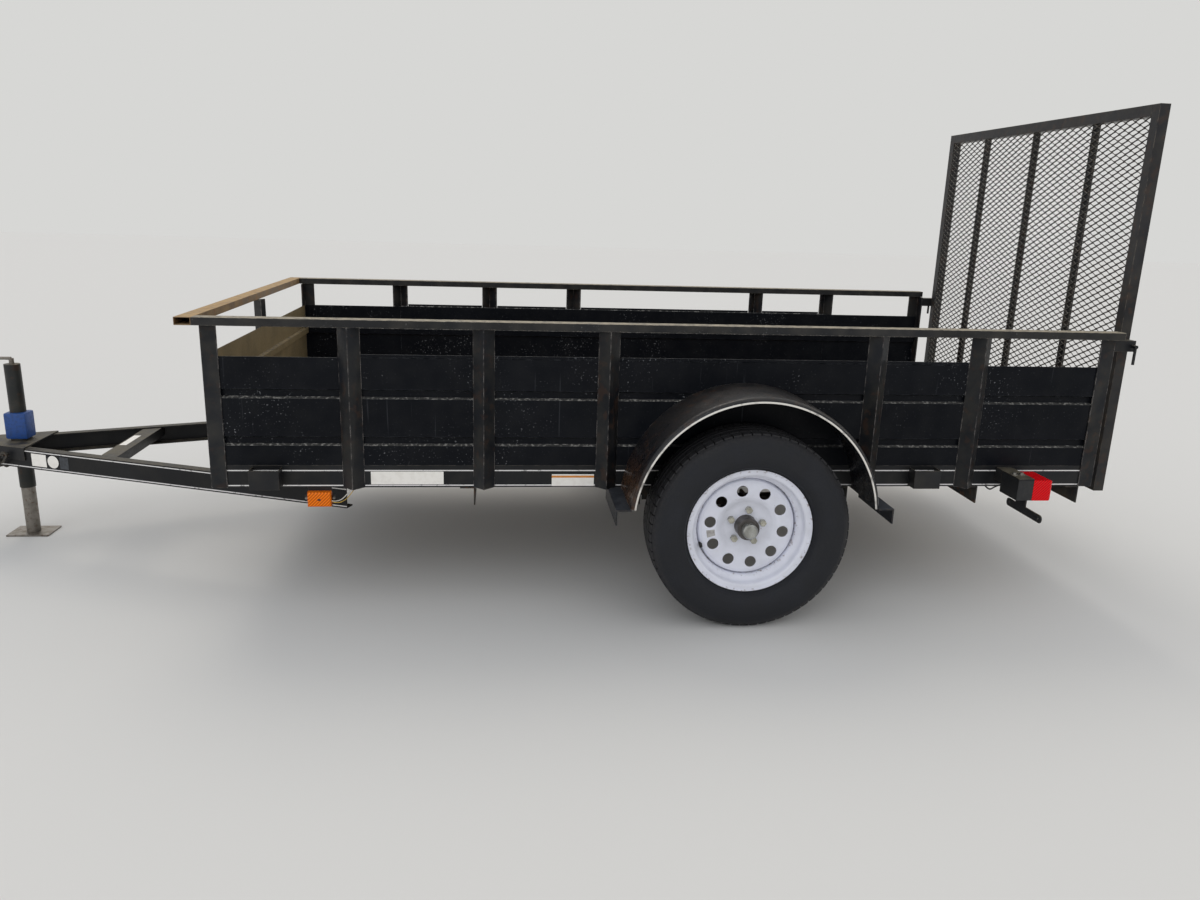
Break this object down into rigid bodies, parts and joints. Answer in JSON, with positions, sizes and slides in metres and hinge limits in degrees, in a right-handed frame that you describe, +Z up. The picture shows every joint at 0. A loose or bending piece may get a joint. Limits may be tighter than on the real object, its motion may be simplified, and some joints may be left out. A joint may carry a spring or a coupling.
{
  "type": "single-axle utility trailer",
  "caption": "Single-axle utility trailer with ribbed steel side walls, mesh ramp gate, round fenders and an A-frame tongue standing on its jack.",
  "frame": {"origin": "on the ground under the middle of the trailer's box", "axes": "+X forward to the coupler, +Y to the left, +Z up"},
  "size_m": [4.517, 2.058, 1.735],
  "materials": {
    "black_frame": "satin black paint, dusty",
    "black_sheet": "satin black paint, dusty",
    "gate_steel": "satin black paint",
    "deck_wood": "weathered treated pine",
    "spring_steel": "black with light rust",
    "jack_black": "black paint",
    "chain_steel": "dull zinc gone dark",
    "zinc": "dull zinc plating",
    "hub_grey": "grey paint",
    "rim_white": "white paint, scratched",
    "tyre_rubber": "worn rubber",
    "lamp_black": "black moulding",
    "lens_red": "clear red lens",
    "lens_amber": "clear amber lens"
  },
  "bodies": {
    "chassis": {"frame_side_rails": "black_frame", "frame_end_rails": "black_frame", "cross_members": "black_frame", "tongue_rails": "black_frame", "tongue_brace": "black_frame", "top_rails": "black_frame", "top_rail_front": "black_frame", "side_posts_left": "black_frame", "side_posts_right": "black_frame", "end_posts": "black_frame", "stake_pockets": "black_frame", "fender_brackets": "black_frame", "hinge_lugs": "black_frame", "lamp_mounts": "black_frame", "plate_bar": "black_frame", "gate_keepers": "black_frame", "spring_hangers": "black_frame", "axle_beam": "black_frame", "axle_clamps": "black_frame", "coupler": "black_frame", "coupler_latch": "black_frame", "side_sheets_left": "black_sheet", "side_sheets_right": "black_sheet", "front_sheet": "black_sheet", "fender_left": "black_sheet", "fender_right": "black_sheet", "deck_planks": "deck_wood", "leaf_springs": "spring_steel", "jack_tube": "jack_black", "safety_chains": "chain_steel", "jack_leg": "zinc", "jack_crank": "zinc", "lamp_bodies": "lamp_black", "lamp_lenses": "lens_red", "side_markers": "lens_amber"},
    "wheel_left": {"tyre_left": "tyre_rubber", "rim_left": "rim_white", "hub_left": "hub_grey", "grease_cap_left": "zinc", "wheel_nuts_left": "zinc"},
    "wheel_right": {"tyre_right": "tyre_rubber", "rim_right": "rim_white", "hub_right": "hub_grey", "grease_cap_right": "zinc", "wheel_nuts_right": "zinc"},
    "gate": {"gate_uprights": "gate_steel", "gate_crossbars": "gate_steel", "gate_bars": "gate_steel", "gate_hinges": "gate_steel", "gate_mesh": "gate_steel"}
  },
  "joints": [
    {"name": "wheel_left_spin", "type": "hinge", "parent": "chassis", "child": "wheel_left", "pos_m": [-0.8665, 0.912, 0.335], "axis": [0, 1, 0], "continuous": true},
    {"name": "wheel_right_spin", "type": "hinge", "parent": "chassis", "child": "wheel_right", "pos_m": [-0.8665, -0.912, 0.335], "axis": [0, 1, 0], "continuous": true},
    {"name": "gate_tilt", "type": "hinge", "parent": "chassis", "child": "gate", "pos_m": [-2.2015, 0, 0.41], "axis": [0, -1, 0], "range_deg": [0, 105]}
  ]
}
